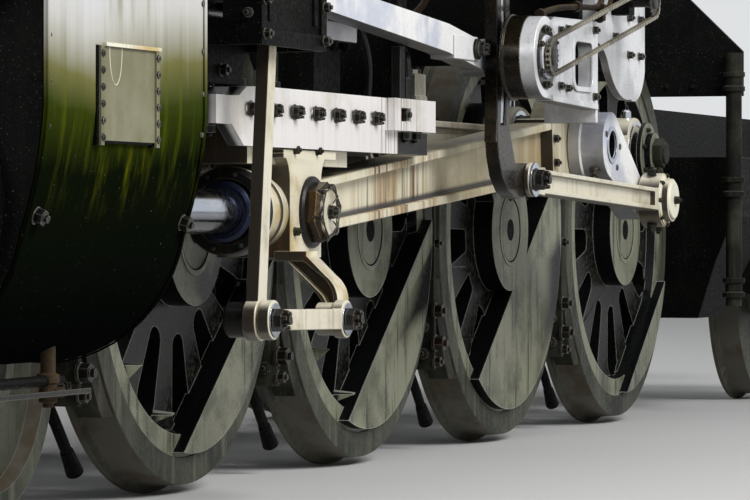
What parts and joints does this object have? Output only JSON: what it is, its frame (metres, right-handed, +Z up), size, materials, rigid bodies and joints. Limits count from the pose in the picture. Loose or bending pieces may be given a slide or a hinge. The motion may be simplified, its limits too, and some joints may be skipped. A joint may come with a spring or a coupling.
{
  "type": "steam locomotive running gear",
  "caption": "Rolling chassis of a steam locomotive: spoked driving wheels, rods, crossheads, cylinders, link valve gear, frame and two swivelling trucks on flanged wheels.",
  "frame": {"origin": "middle of the overall box, at the flange bottoms on which it stands", "axes": "+X towards the rear of the locomotive, +Z up, +Y towards its right side"},
  "size_m": [14.25, 3.19, 2.172],
  "materials": {
    "frame_black": "oily black paint",
    "jacket_green": "gloss dark green-black paint",
    "silver_casting": "aged silver paint",
    "wheel_grey": "dusty paint",
    "tyre_steel": "dusty steel",
    "rod_steel": "machined and oiled",
    "bright_steel": "polished",
    "oily_steel": "dark oiled",
    "dusty_iron": "dirty"
  },
  "bodies": {
    "root": {"main_frame_left": "frame_black", "main_frame_right": "frame_black", "frame_rails": "frame_black", "frame_cross_ties": "frame_black", "waist_plates": "frame_black", "drag_box": "frame_black", "bumper_beam": "frame_black", "cylinder_saddle": "frame_black", "cylinders": "frame_black", "cylinder_covers": "frame_black", "cylinder_jackets": "jacket_green", "lubricators": "oily_steel", "lubricator_chains": "silver_casting", "ash_pans": "frame_black", "sand_and_drain_pipes": "frame_black", "driver_axleboxes": "frame_black", "driver_springs": "frame_black", "crosshead_guides": "silver_casting", "guide_carriers": "frame_black", "guide_yoke": "frame_black", "link_brackets": "silver_casting", "valve_guides": "frame_black", "valve_stems": "bright_steel", "radius_rods": "rod_steel", "brake_hangers": "dusty_iron", "trailing_truck_pivot": "frame_black"},
    "driver_1": {"driver_1_wheelset": "wheel_grey", "driver_1_tyres": "tyre_steel"},
    "driver_2": {"driver_2_wheelset": "wheel_grey", "driver_2_tyres": "tyre_steel"},
    "driver_3": {"driver_3_wheelset": "wheel_grey", "driver_3_tyres": "tyre_steel"},
    "driver_4": {"driver_4_wheelset": "wheel_grey", "driver_4_tyres": "tyre_steel"},
    "leading_truck": {"leading_truck_frame": "frame_black"},
    "leading_front_axle": {"leading_truck_front_wheels": "wheel_grey", "leading_truck_front_axle": "wheel_grey"},
    "leading_rear_axle": {"leading_truck_rear_wheels": "wheel_grey", "leading_truck_rear_axle": "wheel_grey"},
    "trailing_truck": {"trailing_truck_frame": "frame_black"},
    "trailing_axle": {"trailing_truck_wheels": "wheel_grey", "trailing_truck_axle": "wheel_grey"},
    "side_rods_left": {"side_rods_left": "rod_steel"},
    "crosshead_left": {"crosshead_left": "rod_steel", "piston_rod_left": "bright_steel", "union_link_left": "rod_steel"},
    "main_rod_left": {"main_rod_left": "rod_steel"},
    "return_crank_left": {"return_crank_left": "rod_steel"},
    "combination_lever_left": {"combination_lever_left": "rod_steel"},
    "link_left": {"link_left": "oily_steel"},
    "eccentric_rod_left": {"eccentric_rod_left": "rod_steel"},
    "side_rods_right": {"side_rods_right": "rod_steel"},
    "crosshead_right": {"crosshead_right": "rod_steel", "piston_rod_right": "bright_steel", "union_link_right": "rod_steel"},
    "main_rod_right": {"main_rod_right": "rod_steel"},
    "return_crank_right": {"return_crank_right": "rod_steel"},
    "combination_lever_right": {"combination_lever_right": "rod_steel"},
    "link_right": {"link_right": "oily_steel"},
    "eccentric_rod_right": {"eccentric_rod_right": "rod_steel"}
  },
  "joints": [
    {"name": "driver_1_spin", "type": "hinge", "parent": "root", "child": "driver_1", "pos_m": [-2.351, 0, 0.827], "axis": [0, -1, 0], "continuous": true},
    {"name": "driver_2_spin", "type": "hinge", "parent": "root", "child": "driver_2", "pos_m": [-0.675, 0, 0.827], "axis": [0, -1, 0], "continuous": true},
    {"name": "driver_3_spin", "type": "hinge", "parent": "root", "child": "driver_3", "pos_m": [1.001, 0, 0.827], "axis": [0, -1, 0], "continuous": true},
    {"name": "driver_4_spin", "type": "hinge", "parent": "root", "child": "driver_4", "pos_m": [2.677, 0, 0.827], "axis": [0, -1, 0], "continuous": true},
    {"name": "leading_truck_swivel", "type": "hinge", "parent": "root", "child": "leading_truck", "pos_m": [-4.872, 0, 0.766], "axis": [0, 0, 1], "range_deg": [-4, 4]},
    {"name": "leading_front_axle_spin", "type": "hinge", "parent": "leading_truck", "child": "leading_front_axle", "pos_m": [-5.939, 0, 0.446], "axis": [0, -1, 0], "continuous": true},
    {"name": "leading_rear_axle_spin", "type": "hinge", "parent": "leading_truck", "child": "leading_rear_axle", "pos_m": [-3.805, 0, 0.446], "axis": [0, -1, 0], "continuous": true},
    {"name": "trailing_truck_swivel", "type": "hinge", "parent": "root", "child": "trailing_truck", "pos_m": [3.825, 0, 0.907], "axis": [0, 0, 1], "range_deg": [-5, 5]},
    {"name": "trailing_axle_spin", "type": "hinge", "parent": "trailing_truck", "child": "trailing_axle", "pos_m": [5.325, 0, 0.56], "axis": [0, -1, 0], "continuous": true},
    {"name": "side_rods_left_pin", "type": "hinge", "parent": "driver_3", "child": "side_rods_left", "pos_m": [0.75666, -0.92, 1.15125], "axis": [0, -1, 0], "continuous": true},
    {"name": "crosshead_left_slide", "type": "slide", "parent": "root", "child": "crosshead_left", "axis": [1, 0, 0], "range_m": [-0.17281, 0.63929]},
    {"name": "main_rod_left_wrist", "type": "hinge", "parent": "crosshead_left", "child": "main_rod_left", "pos_m": [-2.36525, -1.12, 0.882], "axis": [0, -1, 0], "range_deg": [-13.39, 1.5]},
    {"name": "return_crank_left_spin", "type": "hinge", "parent": "main_rod_left", "child": "return_crank_left", "pos_m": [0.75666, -1.285, 1.15125], "axis": [0, -1, 0], "continuous": true},
    {"name": "combination_lever_left_pivot", "type": "hinge", "parent": "root", "child": "combination_lever_left", "pos_m": [-3.105, -1.38, 1.577], "axis": [0, -1, 0], "range_deg": [-10.57, 37.76]},
    {"name": "link_left_trunnion", "type": "hinge", "parent": "root", "child": "link_left", "pos_m": [-0.895, -1.47, 1.417], "axis": [0, -1, 0], "range_deg": [-44.91, 7.12]},
    {"name": "eccentric_rod_left_pin", "type": "hinge", "parent": "link_left", "child": "eccentric_rod_left", "pos_m": [-0.615, -1.388, 1.002], "axis": [0, -1, 0], "range_deg": [-7.62, 45.41]},
    {"name": "side_rods_right_pin", "type": "hinge", "parent": "driver_3", "child": "side_rods_right", "pos_m": [1.32525, 0.92, 1.07134], "axis": [0, -1, 0], "continuous": true},
    {"name": "crosshead_right_slide", "type": "slide", "parent": "root", "child": "crosshead_right", "axis": [1, 0, 0], "range_m": [-0.73553, 0.07657]},
    {"name": "main_rod_right_wrist", "type": "hinge", "parent": "crosshead_right", "child": "main_rod_right", "pos_m": [-1.80253, 1.12, 0.882], "axis": [0, -1, 0], "range_deg": [-11.92, 2.97]},
    {"name": "return_crank_right_spin", "type": "hinge", "parent": "main_rod_right", "child": "return_crank_right", "pos_m": [1.32525, 1.285, 1.07134], "axis": [0, -1, 0], "continuous": true},
    {"name": "combination_lever_right_pivot", "type": "hinge", "parent": "root", "child": "combination_lever_right", "pos_m": [-3.105, 1.38, 1.577], "axis": [0, -1, 0], "range_deg": [-44.1, 5.04]},
    {"name": "link_right_trunnion", "type": "hinge", "parent": "root", "child": "link_right", "pos_m": [-0.895, 1.47, 1.417], "axis": [0, -1, 0], "range_deg": [-41.61, 10.42]},
    {"name": "eccentric_rod_right_pin", "type": "hinge", "parent": "link_right", "child": "eccentric_rod_right", "pos_m": [-0.63938, 1.388, 0.98655], "axis": [0, -1, 0], "range_deg": [-10.92, 42.11]}
  ],
  "couplings": [
    {"joint": "driver_1_spin", "follows": "driver_3_spin", "ratio": 1},
    {"joint": "driver_2_spin", "follows": "driver_3_spin", "ratio": 1},
    {"joint": "driver_4_spin", "follows": "driver_3_spin", "ratio": 1},
    {"joint": "side_rods_left_pin", "follows": "driver_3_spin", "ratio": -1},
    {"joint": "return_crank_left_spin", "follows": "driver_3_spin", "ratio": 1},
    {"joint": "combination_lever_left_pivot", "follows": "crosshead_left_slide", "rad_per_m": 1.0172},
    {"joint": "eccentric_rod_left_pin", "follows": "link_left_trunnion", "ratio": -1},
    {"joint": "side_rods_right_pin", "follows": "driver_3_spin", "ratio": -1},
    {"joint": "return_crank_right_spin", "follows": "driver_3_spin", "ratio": 1},
    {"joint": "combination_lever_right_pivot", "follows": "crosshead_right_slide", "rad_per_m": 1.0345},
    {"joint": "eccentric_rod_right_pin", "follows": "link_right_trunnion", "ratio": -1}
  ]
}
